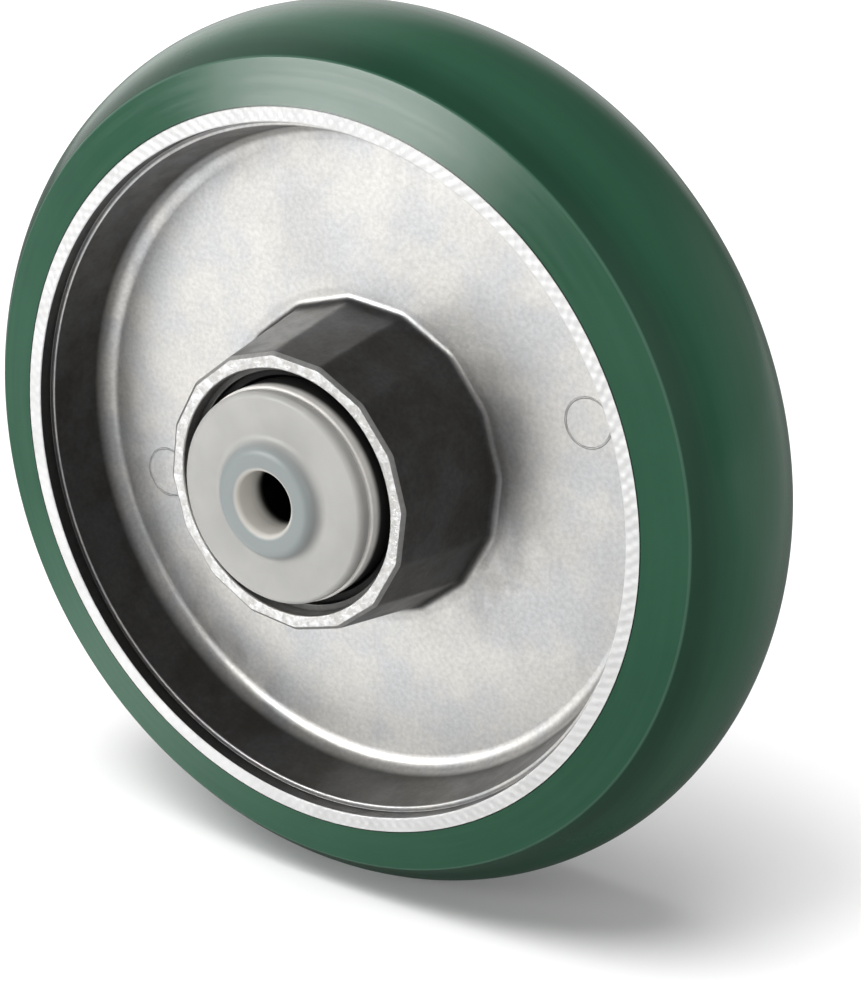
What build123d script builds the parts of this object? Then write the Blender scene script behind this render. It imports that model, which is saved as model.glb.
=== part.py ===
"""Castor wheel with two ball bearings, 125 mm across, for an 8 mm axle bolt.

Frame: millimetres, origin at the wheel's centre, the wheel turns about Y.
The shown side faces -Y, +Z is up. Every side-dependent piece is made once for
the +Y side, as a section in radius and station along Y, and turned over for
the -Y side.
"""
import os
from math import cos, pi, radians, sin, tan

from build123d import *

os.makedirs("parts", exist_ok=True)

# Rim of the aluminium wheel centre
rim_radius = 50.6
rim_station = 14.1
rim_land_width = 2.0
rim_step_depth = 2.2
rim_ledge_width = 0.8
rim_edge_round = 0.25

# Tread: an elastic tyre cast on the rim, with a strongly crowned running face
tread_thickness = 11.9
tread_crown_drop = 5.7
tread_flank_lean = 1.4
tread_edge_round = 0.5

# Web and the dished wall that joins it to the rim
web_thickness = 4.0
dish_draft_width = 1.7
dish_foot_round = 3.2

# Sixteen-sided hub, drafted from the web to its face
hub_sides = 16
hub_first_corner_deg = 4.7
hub_face_station = 19.6
hub_face_width = 2.3
hub_draft_deg = 9.0
hub_base_round = 1.2
hub_face_chamfer = 0.45

# Recessed steps round each bearing, in the hub's face
relief_gap = 1.3
relief_depth = 1.1
mouth_step = 0.85
mouth_depth = 2.3
mouth_chamfer = 0.25
seat_lead_in = 0.4
hub_shoulder_width = 2.0

# Deep groove ball bearing, 10 x 30 x 9, standing a little proud of the hub
bearing_bore_radius = 5.0
bearing_outer_radius = 15.0
bearing_width = 9.0
bearing_proud = 0.8
inner_ring_wall = 3.3
outer_ring_wall = 3.2
ball_radius = 2.38125
ball_count = 8
ball_clearance = 0.06
race_conformity = 1.04
ring_corner_round = 0.6
bore_corner_round = 0.4

# Shields snapped into the outer ring
shield_thickness = 0.35
shield_inset = 0.45
shield_seat_step = 0.8
shield_gap = 0.12

# Moulded crown cage: a ring behind the balls with a pair of snap-in claws at each ball
cage_half_thickness = 0.7
cage_back_wall = 0.6
cage_ring_front = -0.9
cage_claw_reach = 0.9
cage_claw_wall = 0.55
cage_ball_gap = 0.09

# Spacer tube between the two inner rings
spacer_clearance = 0.2
spacer_wall = 2.0

# Flanged end caps
axle_bore_radius = 4.1
cap_bore_chamfer = 0.5
cap_spigot_length = 1.6
cap_spigot_clearance = 0.03
cap_seat_width = 2.7
cap_running_gap = 0.3
cap_disc_shyness = 0.3
cap_disc_edge_thickness = 1.8
cap_disc_edge_round = 1.0
cap_dome_rise = 0.2
cap_dome_round = 8.0
cap_crest_offset = 3.4
cap_valley_offset = 1.3
cap_valley_drop = 0.25
cap_valley_round = 1.4
cap_boss_radius = 7.1
cap_boss_height = 1.5
cap_boss_round = 0.7

# Radii and stations that follow from the sizes above
wheel_radius = rim_radius + tread_thickness
tread_edge_radius = wheel_radius - tread_crown_drop
tread_edge_station = rim_station - tread_flank_lean
web_station = web_thickness / 2
land_inner_radius = rim_radius - rim_land_width
ledge_inner_radius = land_inner_radius - rim_ledge_width
ledge_station = rim_station - rim_step_depth
dish_foot_radius = ledge_inner_radius - dish_draft_width
relief_radius = bearing_outer_radius + relief_gap
mouth_radius = relief_radius + mouth_step
hub_face_corner_radius = mouth_radius + hub_face_width
hub_bore_radius = bearing_outer_radius - hub_shoulder_width
bearing_face_station = hub_face_station + bearing_proud
bearing_station = bearing_face_station - bearing_width / 2
bearing_inner_station = bearing_face_station - bearing_width
ball_track_radius = (bearing_bore_radius + bearing_outer_radius) / 2
race_radius = ball_radius * race_conformity
inner_land_radius = bearing_bore_radius + inner_ring_wall
outer_land_radius = bearing_outer_radius - outer_ring_wall
shield_seat_radius = outer_land_radius + shield_seat_step
spacer_bore_radius = bearing_bore_radius + spacer_clearance
spacer_radius = spacer_bore_radius + spacer_wall
cap_seat_radius = bearing_bore_radius + cap_seat_width
cap_disc_radius = bearing_outer_radius - cap_disc_shyness
cap_disc_back_station = bearing_face_station + cap_running_gap
cap_disc_edge_station = cap_disc_back_station + cap_disc_edge_thickness
cap_crest_station = cap_disc_edge_station + cap_dome_rise
cap_face_station = cap_crest_station + cap_boss_height


def section(points, rounds=None):
    """A closed section from (radius, station) points, with chosen corners rounded."""
    face = make_face(Polyline(*points, close=True))
    for index, radius in (rounds or {}).items():
        corner = face.vertices().sort_by_distance(Vector(*points[index]))[0]
        face = fillet(corner, radius)
    return face


def turned(face):
    """The solid swept by a section once round the wheel's axis."""
    return revolve(face, Axis.Y, 360)


def mirrored_points(points):
    """A half outline followed by its mirror image across the middle plane."""
    return points + [(r, -y) for r, y in reversed(points)]


def other_side(shape):
    """The same piece on the -Y side."""
    return mirror(shape, about=Plane.XZ)


def tread():
    """Crowned tyre ring, bonded to the rim's outer face."""
    crown = ThreePointArc(
        (tread_edge_radius, -tread_edge_station),
        (wheel_radius, 0),
        (tread_edge_radius, tread_edge_station),
    )
    flanks = Polyline(
        (tread_edge_radius, tread_edge_station),
        (rim_radius, rim_station),
        (rim_radius, -rim_station),
        (tread_edge_radius, -tread_edge_station),
    )
    face = make_face([crown, flanks])
    for side in (-1, 1):
        edge = Vector(tread_edge_radius, side * tread_edge_station)
        face = fillet(face.vertices().sort_by_distance(edge)[0], tread_edge_round)
    return turned(face)


def rim_and_web():
    """Web, dished walls, ledges and lands of the casting, as one turned disc."""
    half = [
        (0, web_station),
        (dish_foot_radius, web_station),
        (ledge_inner_radius, ledge_station),
        (land_inner_radius, ledge_station),
        (land_inner_radius, rim_station),
        (rim_radius, rim_station),
    ]
    last = 2 * len(half) - 1
    rounds = {
        1: dish_foot_round,
        2: rim_edge_round,
        4: rim_edge_round,
        last - 4: rim_edge_round,
        last - 2: rim_edge_round,
        last - 1: dish_foot_round,
    }
    return turned(section(mirrored_points(half), rounds))


def hub_outline(corner_radius, station):
    """Corners of the hub's outline at a station along Y."""
    outline = []
    for number in range(hub_sides):
        angle = radians(hub_first_corner_deg + number * 360 / hub_sides)
        outline.append(Vector(corner_radius * cos(angle), station, corner_radius * sin(angle)))
    return outline


def flat_face(corners):
    return Face(Wire.make_polygon(corners, close=True))


def hub_half():
    """Drafted flat-sided hub from the web's middle plane to its face on the +Y side."""
    draft_growth = hub_face_station * tan(radians(hub_draft_deg)) / cos(pi / hub_sides)
    middle = hub_outline(hub_face_corner_radius + draft_growth, 0)
    top = hub_outline(hub_face_corner_radius, hub_face_station)
    faces = [flat_face(middle), flat_face(top)]
    for number in range(hub_sides):
        after = (number + 1) % hub_sides
        faces.append(flat_face([middle[number], middle[after], top[after], top[number]]))
    hub = Solid(Shell(faces))
    return chamfer(hub.faces().sort_by(Axis.Y)[-1].edges(), hub_face_chamfer)


def hub_bore():
    """Everything bored out of the hub: mouths, reliefs, bearing seats and the middle bore."""
    relief_floor = hub_face_station - mouth_depth - relief_depth
    half = [
        (0, hub_face_station + 1),
        (mouth_radius + mouth_chamfer, hub_face_station + 1),
        (mouth_radius + mouth_chamfer, hub_face_station),
        (mouth_radius, hub_face_station - mouth_chamfer),
        (mouth_radius, hub_face_station - mouth_depth),
        (relief_radius, hub_face_station - mouth_depth),
        (relief_radius, relief_floor),
        (bearing_outer_radius + seat_lead_in, relief_floor),
        (bearing_outer_radius, relief_floor - seat_lead_in),
        (bearing_outer_radius, bearing_inner_station),
        (hub_bore_radius, bearing_inner_station),
    ]
    return turned(section(mirrored_points(half)))


def wheel_body():
    """The die-cast centre: rim, web and hub in one piece."""
    front = hub_half()
    body = rim_and_web() + front + other_side(front)
    base_edges = [
        edge
        for edge in body.edges().filter_by(GeomType.LINE)
        if abs(abs(edge.center().Y) - web_station) < 0.01
    ]
    body = fillet(base_edges, hub_base_round)
    return body - hub_bore()


def outer_ring():
    """Bearing outer ring with its ball groove and two shield seats."""
    top = bearing_station + bearing_width / 2
    bottom = bearing_station - bearing_width / 2
    seat_depth = shield_inset + shield_thickness
    points = [
        (bearing_outer_radius, bottom),
        (bearing_outer_radius, top),
        (shield_seat_radius, top),
        (shield_seat_radius, top - seat_depth),
        (outer_land_radius, top - seat_depth),
        (outer_land_radius, bottom + seat_depth),
        (shield_seat_radius, bottom + seat_depth),
        (shield_seat_radius, bottom),
    ]
    ring = section(points, {0: ring_corner_round, 1: ring_corner_round})
    groove_centre = ball_track_radius + ball_radius + ball_clearance - race_radius
    groove = Pos(groove_centre, bearing_station) * Circle(race_radius)
    return turned(ring - groove)


def inner_ring():
    """Bearing inner ring with its ball groove."""
    top = bearing_station + bearing_width / 2
    bottom = bearing_station - bearing_width / 2
    points = [
        (bearing_bore_radius, bottom),
        (bearing_bore_radius, top),
        (inner_land_radius, top),
        (inner_land_radius, bottom),
    ]
    ring = section(points, {0: bore_corner_round, 1: bore_corner_round})
    groove_centre = ball_track_radius - ball_radius - ball_clearance + race_radius
    groove = Pos(groove_centre, bearing_station) * Circle(race_radius)
    return turned(ring - groove)


def ball_place(number):
    """Centre of one ball on the +Y side; no ball lies on the rings' seam."""
    angle = 2 * pi * (number + 0.5) / ball_count
    return (ball_track_radius * cos(angle), bearing_station, ball_track_radius * sin(angle))


def ball(number):
    return Pos(*ball_place(number)) * Sphere(ball_radius)


def cage_band(back, front):
    """Plain ring on the ball track, between two heights measured from the balls' centres."""
    inside = ball_track_radius - cage_half_thickness
    outside = ball_track_radius + cage_half_thickness
    return turned(section([
        (inside, bearing_station + back),
        (outside, bearing_station + back),
        (outside, bearing_station + front),
        (inside, bearing_station + front),
    ]))


def cage():
    """Crown cage: radial pockets that snap over the balls, open towards the outboard side."""
    pocket_radius = ball_radius + cage_ball_gap
    claw_width = 2 * (pocket_radius + cage_claw_wall)
    claw_depth = 4 * cage_half_thickness
    claw_height = 2 * (cage_claw_reach - cage_ring_front)
    claw_blocks = []
    pockets = []
    for number in range(ball_count):
        place = Pos(*ball_place(number))
        turn = Rot(0, -360 * (number + 0.5) / ball_count, 0)
        claw_blocks.append(place * turn * Box(claw_depth, claw_height, claw_width))
        pockets.append(place * turn * Rot(0, 90, 0) * Cylinder(pocket_radius, claw_depth))
    ring = cage_band(-pocket_radius - cage_back_wall, cage_ring_front)
    claws = cage_band(cage_ring_front - cage_claw_wall, cage_claw_reach) & Compound(claw_blocks)
    return ring + claws - pockets


def shield(outboard):
    """Thin shield ring, seated in the outer ring and clear of the inner ring."""
    face_side = 1 if outboard else -1
    outside = bearing_station + face_side * (bearing_width / 2 - shield_inset)
    inside = outside - face_side * shield_thickness
    return turned(section([
        (inner_land_radius + shield_gap, outside),
        (shield_seat_radius, outside),
        (shield_seat_radius, inside),
        (inner_land_radius + shield_gap, inside),
    ]))


def spacer_tube():
    """Tube that holds the two inner rings apart when the axle bolt is tightened."""
    return turned(section([
        (spacer_bore_radius, -bearing_inner_station),
        (spacer_radius, -bearing_inner_station),
        (spacer_radius, bearing_inner_station),
        (spacer_bore_radius, bearing_inner_station),
    ]))


def end_cap():
    """Flanged cap: boss against the fork, domed disc over the bearing, spigot in the inner ring."""
    spigot_end = bearing_face_station - cap_spigot_length
    spigot_radius = bearing_bore_radius - cap_spigot_clearance
    points = [
        (axle_bore_radius, spigot_end),
        (axle_bore_radius, cap_face_station - cap_bore_chamfer),
        (axle_bore_radius + cap_bore_chamfer, cap_face_station),
        (cap_boss_radius, cap_face_station),
        (cap_boss_radius + cap_valley_offset, cap_crest_station - cap_valley_drop),
        (cap_boss_radius + cap_crest_offset, cap_crest_station),
        (cap_disc_radius, cap_disc_edge_station),
        (cap_disc_radius, cap_disc_back_station),
        (cap_seat_radius, cap_disc_back_station),
        (cap_seat_radius, bearing_face_station),
        (spigot_radius, bearing_face_station),
        (spigot_radius, spigot_end),
    ]
    rounds = {
        3: cap_boss_round,
        4: cap_valley_round,
        5: cap_dome_round,
        6: cap_disc_edge_round,
    }
    return turned(section(points, rounds))


def write(shape, name):
    export_step(shape, os.path.join("parts", name + ".step"))


write(tread(), "tread")
write(wheel_body(), "wheel_body")
write(spacer_tube(), "spacer_tube")

side_pieces = {
    "outer_ring": outer_ring(),
    "inner_ring": inner_ring(),
    "ball_cage": cage(),
    "outboard_shield": shield(True),
    "inboard_shield": shield(False),
    "end_cap": end_cap(),
}
for number in range(ball_count):
    side_pieces["ball_%d" % (number + 1)] = ball(number)

for name, shape in side_pieces.items():
    write(shape, "rear_" + name)
    write(other_side(shape), "front_" + name)
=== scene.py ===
"""Looks of a castor wheel: green elastic tread, cast aluminium centre with a
sixteen-sided hub, two ball bearings and light grey end caps.

The part's own frame: the wheel turns about Y, the shown side faces -Y, +Z is
up. Lengths in the profiles are millimetres. Lengths in the materials are
metres, and so are the finished meshes.
"""
import math

import bpy
import numpy as np
from mathutils import Matrix, Vector


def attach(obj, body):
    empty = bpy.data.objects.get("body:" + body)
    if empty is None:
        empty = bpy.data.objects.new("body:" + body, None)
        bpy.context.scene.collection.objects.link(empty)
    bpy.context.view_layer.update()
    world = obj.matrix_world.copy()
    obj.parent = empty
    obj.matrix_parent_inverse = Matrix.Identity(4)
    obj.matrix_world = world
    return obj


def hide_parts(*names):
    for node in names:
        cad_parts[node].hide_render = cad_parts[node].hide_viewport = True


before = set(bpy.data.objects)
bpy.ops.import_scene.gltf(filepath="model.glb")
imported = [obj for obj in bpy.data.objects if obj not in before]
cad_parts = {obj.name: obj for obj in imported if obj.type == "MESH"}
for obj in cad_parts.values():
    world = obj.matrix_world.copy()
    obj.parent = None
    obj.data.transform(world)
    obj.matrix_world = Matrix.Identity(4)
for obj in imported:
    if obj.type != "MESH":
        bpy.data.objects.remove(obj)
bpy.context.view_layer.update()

MM = 0.001

# Sizes shared by the shapes below
HUB_SIDES = 16
HUB_CORNER = math.radians(4.7)
HUB_FACE = 19.6
HUB_FACE_R = 19.45
HUB_CHAMFER = 0.45
CHAMFER_SLOPE = 1.02
HUB_DRAFT = math.tan(math.radians(9.0)) / math.cos(math.pi / HUB_SIDES)
MOUTH_R = 17.15
SEAT_R = 15.0
SEAT_Y = 11.4
WEB = 2.0
RIM_R = 50.6
RIM_Y = 14.1
LAND_R = 48.6
LEDGE_R = 47.8
LEDGE_Y = 11.9
DISH_R = 46.1
TREAD_R = 62.5
TREAD_EDGE_R = 56.8
TREAD_EDGE_Y = 12.7
TREAD_LIP = 0.7
CAP_END = 24.2
KNURLS = 194
KNURL_RISE = 0.036

# Points round the axis in each kind of mesh
CASTING_COLUMNS = 336
TYRE_COLUMNS = 480
SMALL_COLUMNS = 288
KNURL_COLUMNS = KNURLS * 8

# Zones of the casting's skin, in metres: a band of radius and a band of height
# from the middle plane, each as (low, high, soft edge, soft edge at the high end)
# The wall, step and facet zones below carry painted shade
WALL_ZONE = ((0.0449, 0.0477, 0.0008), (0.0046, 0.0117, 0.0016, 0.0001))
STEP_ZONE = ((0.0482, 0.0490, 0.0001), (0.01195, 0.0139, 0.0001))
FACET_ZONE = ((0.0176, 0.0236, 0.0004, 0.0008), (0.00245, 0.01912, 0.00060, 0.0001))
CHAMFER_BAND = (0.01915, 0.0198, 0.00008)
FACE_BAND = (0.0165, 0.0196, 0.0001)

# Small round mould marks on the front of the web, in metres: (x, z, radius)
MOULD_MARKS = ((0.0359, 0.0122, 0.0034), (-0.0348, -0.0098, 0.0036))

# Bands of the tread's radius, in metres; the band beside the edges carries painted shade and the
# edge band a painted highlight
CROWN_BAND = (0.0598, 0.0612)
EDGE_SHADE_BAND = (0.0571, 0.0578, 0.0002, 0.0027)
EDGE_HIGHLIGHT_BAND = (0.05672, 0.05688, 0.00012)
BOND_BAND = (0.05085, 0.05070)

# Light, in Blender's own units. Glossy rays see the panels and not the lamps.
FLOOR_LIFT = 0.02
# Glow of the floor's left-front streak, a painted pool of light
FLOOR_GLOW = 0.16
FRONT_LEVEL = 0.09
BACK_LEVEL = 0.15
PANELS = (
    # towards, full inside these degrees, none outside these degrees, strength
    ((-0.515, -0.825, 0.235), 7, 18, 12.4),
    ((-0.9, 0.1, 0.45), 15, 50, 0.9),
    ((0.6, -0.75, 0.3), 15, 50, 0.3),
    ((-0.6, 0.78, 0.15), 12, 42, 0.9),
    ((0.75, 0.66, 0.0), 12, 46, 0.38),
)
LAMPS = (
    # name, towards, strength, width in degrees, lights the floor alone
    ("overhead", (0.02, -0.22, 1.0), 0.8, 38, False),
    ("overhead_on_floor", (0.02, -0.18, 1.0), 1.45, 38, True),
    ("left_on_floor", (-0.22, -0.50, 1.0), 1.45, 28, True),
    ("fill", (0.75, -0.65, 0.14), 1.3, 50, False),
)

# Camera: angles in degrees, place in millimetres, lens and lens axis in pixels
AZIMUTH = 35.411
ELEVATION = 19.953
CAMERA_BACK = 329.457
CAMERA_RIGHT = -0.496
CAMERA_UP = 0.459
LENS_PX = 2372.2
AXIS_PX = (365.4, 449.2)
FRAME_PX = (861, 990)
SENSOR = 24.0


# Meshes made as rings of points round the wheel's axis

def arc_points(before, corner, after, radius, steps):
    """A rounded corner between two straight runs, as points on a true arc.

    A point is (polygon part of the radius, round part of the radius, station).
    """
    def flat(p):
        return np.array([p[0] + p[1], p[2]])

    before, corner, after = (np.array(p, float) for p in (before, corner, after))
    one = before - corner
    two = after - corner
    len_one = np.linalg.norm(flat(one))
    len_two = np.linalg.norm(flat(two))
    cos_between = float(np.dot(flat(one), flat(two)) / (len_one * len_two))
    turn = math.pi - math.acos(max(-1.0, min(1.0, cos_between)))
    trim = min(radius * math.tan(turn / 2), 0.49 * len_one, 0.49 * len_two)
    start = corner + one / len_one * trim
    end = corner + two / len_two * trim
    weight = math.cos(turn / 2)
    points = []
    for step in range(steps + 1):
        t = step / steps
        a, b, c = (1 - t) ** 2, 2 * weight * t * (1 - t), t ** 2
        points.append((a * start + b * corner + c * end) / (a + b + c))
    return points


def profile(points, rounds, steps=6, support=0.1, longest=3.0):
    """Rows of a section: rounded corners, with rows close by that keep flats flat."""
    points = [p if len(p) == 3 else (0.0, p[0], p[1]) for p in points]
    runs = []
    for i, p in enumerate(points):
        radius = rounds.get(i, 0.0)
        if radius and 0 < i < len(points) - 1:
            runs.append(arc_points(points[i - 1], p, points[i + 1], radius, steps))
        else:
            runs.append([np.array(p, float)])
    rows = []
    for i, run in enumerate(runs):
        rows.extend(run)
        if i + 1 < len(runs):
            a, b = run[-1], runs[i + 1][0]
            length = math.hypot(a[0] + a[1] - b[0] - b[1], a[2] - b[2])
            if length > 4 * support:
                inner = max(1, int(math.ceil((length - 2 * support) / longest)))
                for k in range(inner + 1):
                    s = (support + (length - 2 * support) * k / inner) / length
                    rows.append(a + (b - a) * s)
    return np.array(rows)


def polygon_factor(angles):
    """Radius of a sixteen-sided outline as a share of its corner radius.

    The corners are softened by averaging the outline over a few degrees.
    """
    step = 2 * math.pi / HUB_SIDES
    total = np.zeros_like(angles)
    offsets = (-0.9, -0.45, 0.0, 0.45, 0.9)
    for offset in offsets:
        local = (angles + math.radians(offset) - HUB_CORNER) % step - step / 2
        total += math.cos(step / 2) / np.cos(local)
    return total / len(offsets)


def rings(rows, columns, outline=None):
    """Points for each row of a section, all round the axis, in millimetres."""
    angles = HUB_CORNER + 2 * math.pi * np.arange(columns) / columns
    factor = outline(angles) if outline else np.ones(columns)
    radius = rows[:, :1] * factor[None, :] + rows[:, 1:2]
    grid = np.empty((len(rows), columns, 3))
    grid[:, :, 0] = radius * np.cos(angles)
    grid[:, :, 1] = rows[:, 2:3]
    grid[:, :, 2] = radius * np.sin(angles)
    return grid


def mesh_piece(name, grid, material, closed, sharp_deg=32):
    """A smooth mesh through rings of points; closed joins the last ring to the first."""
    count, columns = grid.shape[:2]
    i = np.arange(count if closed else count - 1)
    j = np.arange(columns)
    a = i[:, None] * columns + j
    b = i[:, None] * columns + (j + 1) % columns
    next_row = ((i + 1) % count)[:, None] * columns
    c = next_row + (j + 1) % columns
    d = next_row + j
    faces = np.stack([a, b, c, d], axis=-1).reshape(-1, 4)
    points = grid.reshape(-1, 3) * MM
    corners = points[faces]
    cross = np.cross(corners[:, 1] - corners[:, 0], corners[:, 2] - corners[:, 0])
    if closed and np.einsum("ij,ij->", cross, corners[:, 0]) < 0:
        faces = faces[:, ::-1]
    mesh = bpy.data.meshes.new(name)
    mesh.from_pydata(points.tolist(), [], faces.tolist())
    mesh.validate()
    mesh.shade_smooth()
    mesh.set_sharp_from_angle(angle=math.radians(sharp_deg))
    mesh.materials.append(material)
    piece = bpy.data.objects.new(name, mesh)
    bpy.context.scene.collection.objects.link(piece)
    return piece


def other_side(points):
    return [(p[0], -p[1]) for p in points]


# Shader building blocks

class Shader:
    """A material's node tree, with short calls for the nodes that the finishes share."""

    def __init__(self, name):
        self.material = bpy.data.materials.new(name)
        self.material.use_nodes = True
        self.tree = self.material.node_tree
        self.surface = self.tree.nodes["Principled BSDF"]
        self.coords = self.add("ShaderNodeTexCoord").outputs["Object"]

    def add(self, kind, inputs=None, **settings):
        made = self.tree.nodes.new(kind)
        for key, value in settings.items():
            setattr(made, key, value)
        for key, value in (inputs or {}).items():
            self.put(made, key, value)
        return made

    def put(self, made, key, value):
        socket = made.inputs[key]
        if isinstance(value, bpy.types.NodeSocket):
            self.tree.links.new(value, socket)
        else:
            socket.default_value = value

    def math(self, operation, a, b=None):
        made = self.add("ShaderNodeMath", operation=operation)
        self.put(made, 0, a)
        if b is not None:
            self.put(made, 1, b)
        return made.outputs[0]

    def ramp(self, value, low, high, to_low=0.0, to_high=1.0):
        """Smooth step of a value from one level to another."""
        made = self.add(
            "ShaderNodeMapRange",
            {"Value": value, "From Min": low, "From Max": high,
             "To Min": to_low, "To Max": to_high},
            interpolation_type="SMOOTHSTEP",
        )
        return made.outputs["Result"]

    def noise(self, scale, detail=3.0, roughness=0.5, coords=None, seed=0.0):
        made = self.add(
            "ShaderNodeTexNoise",
            {"Vector": coords or self.coords, "W": seed, "Scale": scale,
             "Detail": detail, "Roughness": roughness},
            noise_dimensions="4D",
        )
        return made.outputs["Fac"]

    def mix(self, factor, one, two, blend="MIX"):
        made = self.add("ShaderNodeMix", data_type="RGBA", blend_type=blend)
        self.put(made, 0, factor)
        self.put(made, 6, one)
        self.put(made, 7, two)
        return made.outputs[2]

    def bump(self, height, distance, strength=1.0, normal=None):
        inputs = {"Height": height, "Distance": distance, "Strength": strength}
        if normal is not None:
            inputs["Normal"] = normal
        return self.add("ShaderNodeBump", inputs).outputs["Normal"]

    def set(self, **values):
        for key, value in values.items():
            self.put(self.surface, key.replace("_", " "), value)

    def band(self, value, low, high, soft, soft_high=None):
        """One inside a range of a value, falling to nothing over soft edges."""
        rise = self.ramp(value, low - soft, low)
        fall = self.ramp(value, high + (soft_high or soft), high)
        return self.both(rise, fall)

    def both(self, one, two):
        """The product of two values: of two masks, where they overlap."""
        return self.math("MULTIPLY", one, two)

    def zone(self, radius, height, across, along):
        """One where the radius and the height are both inside their bands."""
        return self.both(self.band(radius, *across), self.band(height, *along))

    def ring_mark(self, split, x, z, reach):
        """A thin raised circle round a point of the web, nothing elsewhere."""
        dx = self.math("SUBTRACT", split["X"], x)
        dz = self.math("SUBTRACT", split["Z"], z)
        squares = self.math("ADD", self.both(dx, dx), self.both(dz, dz))
        away = self.math("SQRT", squares)
        line = self.band(away, reach - 0.00005, reach + 0.00005, 0.00012)
        on_front = self.ramp(split["Y"], -0.0015, -0.0018)
        return self.both(line, on_front)

    def axis_parts(self):
        """The coordinates, the distance from the axle line and that from the middle plane."""
        split = self.add("ShaderNodeSeparateXYZ", {"Vector": self.coords}).outputs
        x2 = self.both(split["X"], split["X"])
        z2 = self.both(split["Z"], split["Z"])
        radius = self.math("SQRT", self.math("ADD", x2, z2))
        return split, radius, self.math("ABSOLUTE", split["Y"])


def rgb(red, green, blue):
    return (red, green, blue, 1.0)


def grey(level):
    """A slightly warm grey."""
    return (level, level * 0.99, level * 0.965, 1.0)


def cast_material():
    """Die-cast aluminium: mottled light skin, painted shade on the drafted walls, the step beside
    the land and the hub's sides, a sanded hub face and painted shade down the hub's mouth.
    """
    s = Shader("cast_aluminium_skin")
    split, radius, height = s.axis_parts()
    blotch = s.ramp(s.noise(95, 4, 0.6), 0.38, 0.62)
    colour = s.mix(blotch, rgb(0.65, 0.635, 0.605), rgb(0.565, 0.57, 0.575))
    stain = s.ramp(s.noise(42, 5, 0.65, seed=3.0), 0.50, 0.72)
    colour = s.mix(s.both(stain, 0.45), colour, rgb(0.47, 0.46, 0.445))

    # Painted shade: the drafted walls, the step beside the land and the hub's sides are coloured
    # much darker than the rest of the casting
    clouds = s.ramp(s.noise(130, 3, 0.6, seed=6.0), 0.35, 0.65)
    wall_painted_shade = s.mix(clouds, rgb(0.088, 0.083, 0.077), rgb(0.122, 0.121, 0.121))
    colour = s.mix(s.zone(radius, height, *WALL_ZONE), colour, wall_painted_shade)
    colour = s.mix(s.zone(radius, height, *STEP_ZONE), colour, grey(0.055))
    facet_painted_shade = s.mix(clouds, rgb(0.128, 0.124, 0.117), rgb(0.162, 0.162, 0.165))
    colour = s.mix(s.zone(radius, height, *FACET_ZONE), colour, facet_painted_shade)

    # The hub's chamfer, sanded face and mouth; the mouth has painted shade, darker the deeper it
    # goes
    in_chamfer = s.both(s.ramp(radius, 0.0178, 0.0181), s.band(height, *CHAMFER_BAND))
    colour = s.mix(in_chamfer, colour, grey(0.46))
    in_face = s.both(s.band(radius, *FACE_BAND), s.ramp(height, 0.01952, 0.01957))
    sand = s.ramp(s.noise(900, 3, 0.65, seed=9.0), 0.35, 0.68)
    face = s.mix(sand, rgb(0.56, 0.55, 0.53), rgb(0.80, 0.80, 0.80))
    colour = s.mix(in_face, colour, face)
    in_mouth = s.both(s.ramp(radius, 0.01745, 0.01735), s.ramp(height, 0.01945, 0.0193))
    # Painted shade down the mouth: mid grey at its edge, near black deeper in
    mouth_shade_depth = s.ramp(height, 0.0190, 0.0165)
    colour = s.mix(in_mouth, colour, s.mix(mouth_shade_depth, grey(0.42), grey(0.02)))

    # Fine grain in colour, gloss and relief, and the mould marks
    grain = s.noise(1500, 2, 0.6, seed=1.0)
    tone = s.ramp(grain, 0.25, 0.75, 0.88, 1.07)
    tones = s.add("ShaderNodeCombineColor", {0: tone, 1: tone, 2: tone}).outputs[0]
    colour = s.mix(1.0, colour, tones, "MULTIPLY")
    rough = s.ramp(s.noise(320, 3, 0.6, seed=2.0), 0.3, 0.7, 0.36, 0.46)
    normal = s.bump(grain, 0.00005, 0.45)
    normal = s.bump(s.noise(260, 3, 0.5, seed=4.0), 0.00010, 0.30, normal)
    normal = s.bump(s.both(in_face, sand), 0.00010, 0.8, normal)
    for x, z, reach in MOULD_MARKS:
        normal = s.bump(s.ring_mark(split, x, z, reach), 0.00015, 1.0, normal)
    metallic = s.ramp(in_face, 0.0, 1.0, 0.93, 0.55)
    s.set(Base_Color=colour, Metallic=metallic, Roughness=rough, Normal=normal)
    return s.material


def land_material():
    """Bright knurled land at the edge of the rim."""
    s = Shader("knurled_land")
    grain = s.noise(2200, 2, 0.6)
    tone = s.ramp(s.noise(140, 3, 0.6, seed=2.0), 0.3, 0.7)
    colour = s.mix(tone, rgb(0.77, 0.77, 0.765), rgb(0.68, 0.68, 0.675))
    normal = s.bump(grain, 0.00004, 0.5)
    s.set(Base_Color=colour, Metallic=0.35, Roughness=0.42, Normal=normal)
    return s.material


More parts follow.
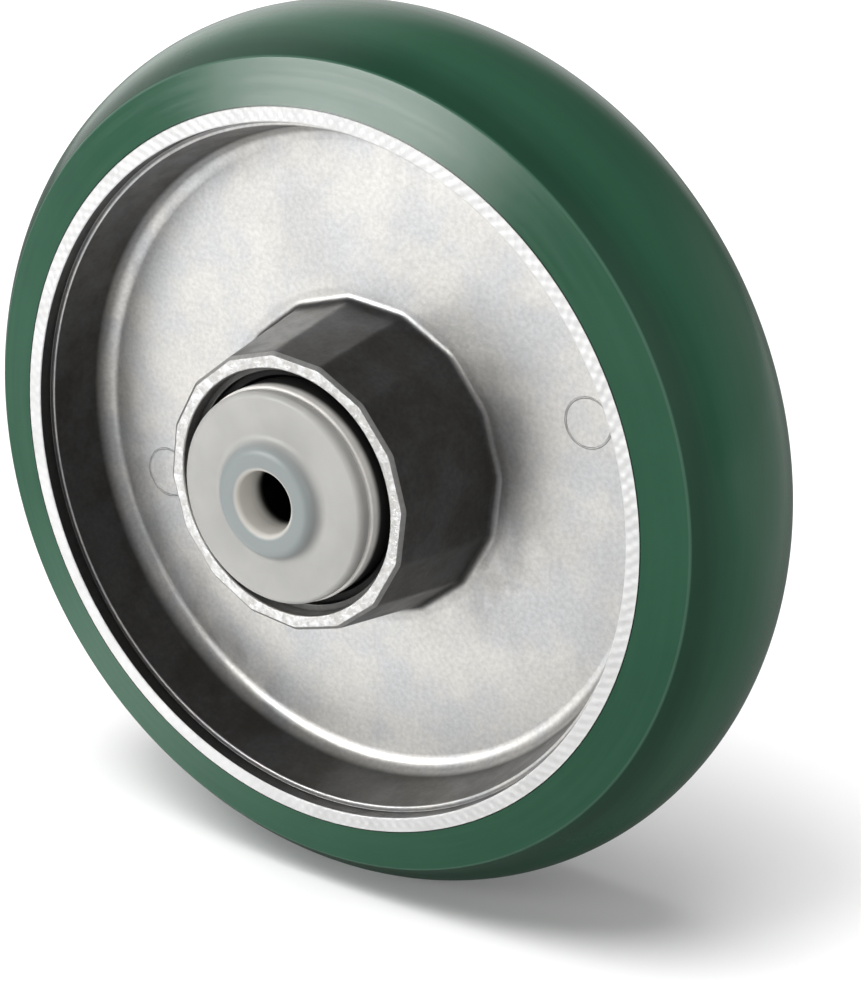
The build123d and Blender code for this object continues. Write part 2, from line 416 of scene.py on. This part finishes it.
def tread_material():
    """Green cast elastomer: satin, faintly streaked along its run, with painted shade beside its
    edges and a painted highlight along them.
    """
    s = Shader("green_elastomer")
    split, radius, _ = s.axis_parts()
    angle = s.math("ARCTAN2", split["Z"], split["X"])
    along = s.add("ShaderNodeCombineXYZ", {
        0: s.both(radius, 900.0),
        1: s.both(split["Y"], 900.0),
        2: s.both(angle, 2.5),
    }).outputs[0]
    streak = s.noise(1.0, 3, 0.6, coords=along)
    cloud = s.ramp(s.noise(38, 4, 0.6, seed=5.0), 0.3, 0.7)
    colour = s.mix(cloud, rgb(0.021, 0.086, 0.047), rgb(0.027, 0.101, 0.057))
    colour = s.mix(s.ramp(streak, 0.35, 0.75, 0.0, 0.35), colour, rgb(0.034, 0.115, 0.068))
    on_crown = s.both(s.ramp(radius, *CROWN_BAND), 0.6)
    colour = s.mix(on_crown, colour, rgb(0.036, 0.128, 0.072))
    # Painted shade on the crown next to each edge
    beside_edge_painted_shade = s.both(s.band(radius, *EDGE_SHADE_BAND), 0.62)
    colour = s.mix(beside_edge_painted_shade, colour, rgb(0.008, 0.034, 0.019))
    # Painted highlight: a thin light line along the edge between flank and crown
    edge_painted_highlight = s.both(s.band(radius, *EDGE_HIGHLIGHT_BAND), 0.45)
    colour = s.mix(edge_painted_highlight, colour, rgb(0.10, 0.19, 0.14))
    at_bond = s.ramp(radius, *BOND_BAND)
    colour = s.mix(at_bond, colour, rgb(0.006, 0.020, 0.012))
    rough = s.ramp(streak, 0.3, 0.7, 0.18, 0.25)
    normal = s.bump(streak, 0.00003, 0.35)
    normal = s.bump(s.noise(210, 2, 0.5, seed=8.0), 0.00010, 0.20, normal)
    s.set(Base_Color=colour, Roughness=rough, Normal=normal, IOR=1.48)
    return s.material


def cap_material():
    """Moulded light grey polyamide, its boss cooler, a painted lighter wall in the hole and
    painted shade deep inside it.
    """
    s = Shader("grey_polymer")
    _, radius, height = s.axis_parts()
    cloud = s.ramp(s.noise(110, 3, 0.55), 0.3, 0.7)
    colour = s.mix(cloud, rgb(0.405, 0.400, 0.382), rgb(0.465, 0.460, 0.442))
    colour = s.mix(s.ramp(radius, 0.0088, 0.0072), colour, rgb(0.275, 0.305, 0.305))
    # Painted light: the hole's wall is coloured lighter than the rest of the cap
    in_bore = s.ramp(radius, 0.0051, 0.0046)
    colour = s.mix(in_bore, colour, rgb(0.64, 0.62, 0.575))
    # Painted shade: near black deeper in the hole
    hole_painted_shade = s.both(in_bore, s.ramp(height, 0.0208, 0.0190))
    colour = s.mix(hole_painted_shade, colour, grey(0.012))
    grain = s.noise(1300, 2, 0.5)
    s.set(Base_Color=colour, Roughness=0.36, Normal=s.bump(grain, 0.00002, 0.3))
    s.set(
        Subsurface_Weight=0.06,
        Subsurface_Radius=(0.004, 0.004, 0.0038),
        Subsurface_Scale=0.4,
    )
    return s.material


def steel_material(name, light, dark, roughness, turned=0.0):
    """Bearing and spacer steel, with faint turning lines where wanted and painted shade inside
    the bore.
    """
    s = Shader(name)
    split, radius, _ = s.axis_parts()
    lines = s.add("ShaderNodeCombineXYZ", {
        0: s.both(radius, 6000.0),
        1: s.both(split["Y"], 6000.0),
    }).outputs[0]
    streak = s.noise(1.0, 2, 0.5, coords=lines)
    cloud = s.ramp(s.noise(260, 3), 0.3, 0.7)
    tone = s.math("ADD", s.both(cloud, 0.6), s.both(streak, 0.4))
    colour = s.mix(tone, light, dark)
    # Painted shade: near black inside the bore, under about 5.5 mm radius
    colour = s.mix(s.ramp(radius, 0.0057, 0.0053), colour, grey(0.02))
    s.set(Base_Color=colour, Metallic=0.9, Roughness=roughness)
    if turned:
        s.set(Normal=s.bump(streak, 0.00002, turned))
    return s.material


def ring_material():
    """Outer rings: bright ground face, with painted shade down the side inside the hub's mouth.
    """
    s = Shader("outer_ring_steel")
    _, _, height = s.axis_parts()
    cloud = s.ramp(s.noise(420, 3), 0.3, 0.7)
    colour = s.mix(cloud, rgb(0.93, 0.905, 0.86), rgb(0.84, 0.82, 0.78))
    # Painted shade: near black down the side below the hub's face
    shade = s.ramp(height, 0.0196, 0.0183)
    colour = s.mix(shade, colour, grey(0.03))
    normal = s.bump(s.noise(900), 0.00003, 0.4)
    s.set(Base_Color=colour, Metallic=0.1, Roughness=0.38, Normal=normal)
    return s.material


def cage_material():
    """Moulded cage polymer."""
    s = Shader("cage_moulding")
    tone = s.ramp(s.noise(300, 3), 0.3, 0.7)
    colour = s.mix(tone, rgb(0.62, 0.55, 0.40), rgb(0.70, 0.63, 0.47))
    normal = s.bump(s.noise(1500), 0.00002, 0.3)
    s.set(Base_Color=colour, Roughness=0.5, Normal=normal)
    return s.material


cast_skin = cast_material()
land_skin = land_material()
tread_skin = tread_material()
cap_skin = cap_material()
outer_ring_steel = ring_material()
ring_steel = steel_material(
    "ring_steel", rgb(0.76, 0.735, 0.69), rgb(0.66, 0.64, 0.60), 0.34, 0.3,
)
ball_steel = steel_material(
    "ball_steel", rgb(0.80, 0.80, 0.81), rgb(0.74, 0.74, 0.76), 0.10,
)
shield_steel = steel_material(
    "shield_steel", rgb(0.60, 0.60, 0.60), rgb(0.52, 0.52, 0.53), 0.38, 0.4,
)
tube_steel = steel_material(
    "tube_steel", rgb(0.60, 0.60, 0.61), rgb(0.50, 0.50, 0.52), 0.36, 0.4,
)
cage_skin = cage_material()


# Cast wheel centre

def hub_radius(station):
    """Corner radius of the drafted hub at a station."""
    return HUB_FACE_R + (HUB_FACE - station) * HUB_DRAFT


# Half of the section, from the bore round to the rim. A point is (polygon part
# of the radius, round part of the radius, station). Rounds go by point number.
casting_half = [
    (0.0, 13.0, 0.0),
    (0.0, 13.0, SEAT_Y),
    (0.0, SEAT_R, SEAT_Y),
    (0.0, SEAT_R, 15.8),
    (0.0, 15.4, 16.2),
    (0.0, 16.3, 16.2),
    (0.0, 16.3, 17.3),
    (0.0, MOUTH_R, 17.3),
    (0.0, MOUTH_R, HUB_FACE),
    (HUB_FACE_R - CHAMFER_SLOPE * HUB_CHAMFER, 0.0, HUB_FACE),
    (hub_radius(HUB_FACE - HUB_CHAMFER), 0.0, HUB_FACE - HUB_CHAMFER),
    (hub_radius(WEB), 0.0, WEB),
    (0.0, 27.5, WEB),
    (0.0, DISH_R, WEB),
    (0.0, LEDGE_R, LEDGE_Y),
    (0.0, LAND_R, LEDGE_Y),
    (0.0, LAND_R, RIM_Y - 0.12),
    (0.0, RIM_R, RIM_Y - 0.12),
    (0.0, RIM_R, 0.0),
]
casting_rounds = {
    4: 0.15, 6: 0.15, 8: 0.28, 9: 0.10, 10: 0.12,
    11: 1.1, 12: 0.5, 13: 2.3, 14: 0.22, 15: 0.1, 16: 0.12,
}
half_rows = profile(casting_half, casting_rounds)
rear_rows = half_rows[::-1][1:-1].copy()
rear_rows[:, 2] *= -1
casting_rows = np.vstack([half_rows, rear_rows])
casting_grid = rings(casting_rows, CASTING_COLUMNS, polygon_factor)
casting = mesh_piece("wheel_casting", casting_grid, cast_skin, closed=True)
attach(casting, "wheel")
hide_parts("wheel_body")


def knurled_land(name, side):
    """The land's two staggered rows of small pyramids, rolled into its face."""
    outer = RIM_R + 0.06
    radii = np.concatenate([[LAND_R, LAND_R + 0.06], np.linspace(LAND_R + 0.15, outer, 14)])
    angles = 2 * math.pi * np.arange(KNURL_COLUMNS) / KNURL_COLUMNS
    across = (radii - LAND_R) / (outer - LAND_R) * 2 - 0.5
    wave = np.cos(KNURLS * angles)[None, :] * np.cos(math.pi * across)[:, None]
    rise = KNURL_RISE * np.clip(1.2 * wave, -1.0, 1.0)
    rise[:2] = -0.02
    rise[-1] = 0.02
    station = side * (RIM_Y - 0.07 + rise)
    station[0] = side * (RIM_Y - 0.2)
    grid = np.empty((len(radii), KNURL_COLUMNS, 3))
    grid[:, :, 0] = radii[:, None] * np.cos(angles)
    grid[:, :, 1] = station
    grid[:, :, 2] = radii[:, None] * np.sin(angles)
    if side > 0:
        grid = grid[::-1]
    land = mesh_piece(name, grid, land_skin, closed=False, sharp_deg=60)
    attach(land, "wheel")


knurled_land("rim_land_front", -1)
knurled_land("rim_land_rear", 1)


# Tread

def crown_rows():
    """Section of the tyre: crowned running face, two conical flanks, bonded bore."""
    sag = TREAD_R - TREAD_EDGE_R
    arc_r = (TREAD_EDGE_Y ** 2 + sag ** 2) / (2 * sag)
    half_turn = math.asin(TREAD_EDGE_Y / arc_r)
    crown = []
    for t in np.linspace(-half_turn, half_turn, 49):
        crown.append((TREAD_R - arc_r + arc_r * math.cos(t), arc_r * math.sin(t)))
    bonded = [(RIM_R, -RIM_Y + TREAD_LIP), (RIM_R, -RIM_Y + 0.02)]
    outline = bonded + crown + other_side(bonded)[::-1]
    rounds = {2: 0.5, len(outline) - 3: 0.5}
    return profile(outline, rounds, steps=4, support=0.05, longest=1.2)


tyre = mesh_piece("tyre", rings(crown_rows(), TYRE_COLUMNS), tread_skin, closed=True)
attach(tyre, "wheel")
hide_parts("tread")


# Outer bearing rings, seen as a narrow band round each end cap, and end caps

ring_section = [
    (SEAT_R, SEAT_Y), (SEAT_R, 20.4), (12.6, 20.4), (12.6, 19.6),
    (11.8, 19.6), (11.8, 12.2), (12.6, 12.2), (12.6, SEAT_Y),
]
ring_rounds = {1: 0.3, 2: 0.12}


def end_cap_section():
    """Section of an end cap: boss, soft valley, shallow dome, rounded rim and spigot."""
    outline = [
        (4.1, 18.8), (4.1, 21.4), (4.4, CAP_END), (7.5, CAP_END), (8.3, 22.42), (10.9, 22.7),
        (14.7, 22.35), (14.7, 20.7), (7.7, 20.7), (7.7, 20.4), (4.97, 20.4), (4.97, 18.8),
    ]
    rounds = {1: 2.0, 2: 0.9, 3: 1.5, 4: 1.9, 5: 9.0, 6: 1.1, 7: 0.15}
    return outline, rounds


for side_name, sign in (("front", -1), ("rear", 1)):
    sections = (
        ("outer_race", ring_section, ring_rounds, outer_ring_steel,
         "outer_ring", "wheel", "bearing_ring"),
        ("cap", *end_cap_section(), cap_skin, "end_cap", "axle_set", "cap_polymer"),
    )
    for label, outline, rounds, skin, node, body, slot in sections:
        if sign < 0:
            outline = other_side(outline)
        rows = profile(outline, rounds, steps=9, support=0.06, longest=0.6)
        name = "%s_%s" % (side_name, label)
        piece = mesh_piece(name, rings(rows, SMALL_COLUMNS), skin, closed=True)
        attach(piece, body)
        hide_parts("%s_%s" % (side_name, node))

# Materials of the nodes that keep their own meshes
node_skins = {
    "inner_ring": ring_steel,
    "shield": shield_steel,
    "cage": cage_skin,
    "spacer": tube_steel,
    "ball_": ball_steel,
}
for node_name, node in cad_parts.items():
    for part, skin in node_skins.items():
        if part in node_name:
            node.data.materials.clear()
            node.data.materials.append(skin)
            break


# Floor, light and camera

def studio_floor():
    """Pale floor for the camera. Other rays see it darker, with painted light and shade on it:
    dark tones by place and a glowing painted pool of light in a streak at the left front.
    """
    bpy.ops.mesh.primitive_plane_add(size=12, location=(0, 0, -TREAD_R * MM))
    floor = bpy.context.object
    floor.name = "floor"
    s = Shader("pale_floor")
    nodes, links = s.tree.nodes, s.tree.links
    split = s.add("ShaderNodeSeparateXYZ", {"Vector": s.coords}).outputs
    x, y = split["X"], split["Y"]
    path = s.add("ShaderNodeLightPath").outputs
    seen = s.math("MAXIMUM", path["Is Camera Ray"], path["Is Transmission Ray"])
    pale = s.add("ShaderNodeBsdfDiffuse", {"Color": rgb(0.82, 0.82, 0.82)}).outputs[0]
    lift = s.add("ShaderNodeEmission", {"Color": rgb(1, 1, 1), "Strength": FLOOR_LIFT}).outputs[0]
    bright = s.add("ShaderNodeAddShader", {0: pale, 1: lift}).outputs[0]

    # Distances along the streak and across it, and the streak's widening edge
    along = s.math("ADD", s.both(x, -0.56), s.both(y, -0.83))
    across = s.math("ABSOLUTE", s.math("ADD", s.both(x, 0.83), s.both(y, -0.56)))
    spread = s.math("SUBTRACT", across, s.both(along, 0.22))
    painted_light_left_front = s.both(s.ramp(spread, 0.07, 0.01), s.ramp(along, 0.0, 0.08))

    # Painted light and shade seen by the other rays: darker to the left, behind and right behind,
    # light with a glow in the left-front streak
    left = s.ramp(x, 0.05, -0.10, 0.18, 0.26)
    behind = s.ramp(y, 0.0, 0.15)
    tone = s.add("ShaderNodeCombineColor", {0: left, 1: left, 2: left}).outputs[0]
    tone = s.mix(painted_light_left_front, tone, rgb(0.80, 0.80, 0.80))
    tone = s.mix(behind, tone, rgb(0.15, 0.15, 0.15))
    right_back = s.both(s.ramp(x, 0.05, 0.14), s.ramp(y, 0.0, 0.12))
    tone = s.mix(right_back, tone, rgb(0.36, 0.36, 0.36))
    plain = s.add("ShaderNodeBsdfDiffuse", {"Color": tone}).outputs[0]
    streak = s.both(painted_light_left_front, FLOOR_GLOW)
    glow = s.add("ShaderNodeEmission", {"Color": rgb(1, 1, 1), "Strength": streak}).outputs[0]
    plain = s.add("ShaderNodeAddShader", {0: plain, 1: glow}).outputs[0]
    shown = s.add("ShaderNodeMixShader", {0: seen, 1: plain, 2: bright}).outputs[0]
    nodes.remove(s.surface)
    links.new(shown, nodes["Material Output"].inputs["Surface"])
    floor.data.materials.append(s.material)
    return floor


def studio_world():
    """White backdrop for the camera; dim surroundings with soft panels for everything else."""
    world = bpy.data.worlds.new("studio")
    bpy.context.scene.world = world
    world.use_nodes = True
    tree = world.node_tree
    nodes, links = tree.nodes, tree.links
    nodes.clear()
    direction = nodes.new("ShaderNodeTexCoord").outputs["Generated"]

    def lobe(towards, spread_in, spread_out, strength):
        """A round soft panel in one direction of the sky."""
        length = math.sqrt(sum(v * v for v in towards))
        dot = nodes.new("ShaderNodeVectorMath")
        dot.operation = "DOT_PRODUCT"
        links.new(direction, dot.inputs[0])
        dot.inputs[1].default_value = [v / length for v in towards]
        ramp = nodes.new("ShaderNodeMapRange")
        ramp.interpolation_type = "SMOOTHSTEP"
        links.new(dot.outputs["Value"], ramp.inputs["Value"])
        ramp.inputs["From Min"].default_value = math.cos(math.radians(spread_out))
        ramp.inputs["From Max"].default_value = math.cos(math.radians(spread_in))
        ramp.inputs["To Max"].default_value = strength
        return ramp.outputs["Result"]

    level = None
    for panel in PANELS:
        value = lobe(*panel)
        if level is not None:
            total = nodes.new("ShaderNodeMath")
            links.new(level, total.inputs[0])
            links.new(value, total.inputs[1])
            value = total.outputs[0]
        level = value
    split = nodes.new("ShaderNodeSeparateXYZ")
    links.new(direction, split.inputs[0])
    backdrop = nodes.new("ShaderNodeMapRange")
    backdrop.interpolation_type = "SMOOTHSTEP"
    links.new(split.outputs["Y"], backdrop.inputs["Value"])
    backdrop.inputs["From Min"].default_value = -0.15
    backdrop.inputs["From Max"].default_value = 0.45
    backdrop.inputs["To Min"].default_value = FRONT_LEVEL
    backdrop.inputs["To Max"].default_value = BACK_LEVEL
    base = nodes.new("ShaderNodeMath")
    links.new(level, base.inputs[0])
    links.new(backdrop.outputs["Result"], base.inputs[1])
    lit = nodes.new("ShaderNodeBackground")
    links.new(base.outputs[0], lit.inputs["Strength"])
    white = nodes.new("ShaderNodeBackground")
    white.inputs["Strength"].default_value = 1.0
    white.inputs["Color"].default_value = (1, 1, 1, 1)
    path = nodes.new("ShaderNodeLightPath")
    pick = nodes.new("ShaderNodeMixShader")
    links.new(path.outputs["Is Camera Ray"], pick.inputs[0])
    links.new(lit.outputs[0], pick.inputs[1])
    links.new(white.outputs[0], pick.inputs[2])
    out = nodes.new("ShaderNodeOutputWorld")
    links.new(pick.outputs[0], out.inputs["Surface"])


def sun(name, towards, strength, angle_deg, lit=None):
    """A soft distant lamp that shines from a direction, on everything or on one collection."""
    light = bpy.data.lights.new(name, "SUN")
    light.energy = strength
    light.angle = math.radians(angle_deg)
    lamp = bpy.data.objects.new(name, light)
    lamp.visible_glossy = False
    lamp.rotation_euler = Vector(towards).to_track_quat("Z", "Y").to_euler()
    lamp.light_linking.receiver_collection = lit
    bpy.context.scene.collection.objects.link(lamp)


def place_camera():
    """Camera at the photograph's angle; a small shift sets the wheel left and above."""
    azimuth = math.radians(AZIMUTH)
    elevation = math.radians(ELEVATION)
    back = Vector((
        math.sin(azimuth) * math.cos(elevation),
        -math.cos(azimuth) * math.cos(elevation),
        math.sin(elevation),
    ))
    right = Vector((math.cos(azimuth), math.sin(azimuth), 0))
    up = back.cross(right)
    place = (back * CAMERA_BACK + right * CAMERA_RIGHT + up * CAMERA_UP) * MM
    width, height = FRAME_PX
    data = bpy.data.cameras.new("camera")
    data.sensor_fit = "VERTICAL"
    data.sensor_height = SENSOR
    data.lens = LENS_PX * SENSOR / height
    data.shift_x = (width / 2 - AXIS_PX[0]) / height
    data.shift_y = (AXIS_PX[1] - height / 2) / height
    data.clip_start = 0.01
    data.clip_end = 50.0
    camera = bpy.data.objects.new("camera", data)
    turn = Matrix((right, up, back)).transposed().to_4x4()
    camera.matrix_world = Matrix.Translation(place) @ turn
    bpy.context.scene.collection.objects.link(camera)
    bpy.context.scene.camera = camera


floor_only = bpy.data.collections.new("floor_only")
floor_only.objects.link(studio_floor())
studio_world()
for lamp_name, towards, strength, width_deg, on_floor in LAMPS:
    sun(lamp_name, towards, strength, width_deg, floor_only if on_floor else None)
place_camera()
bpy.context.scene.view_settings.view_transform = "Standard"
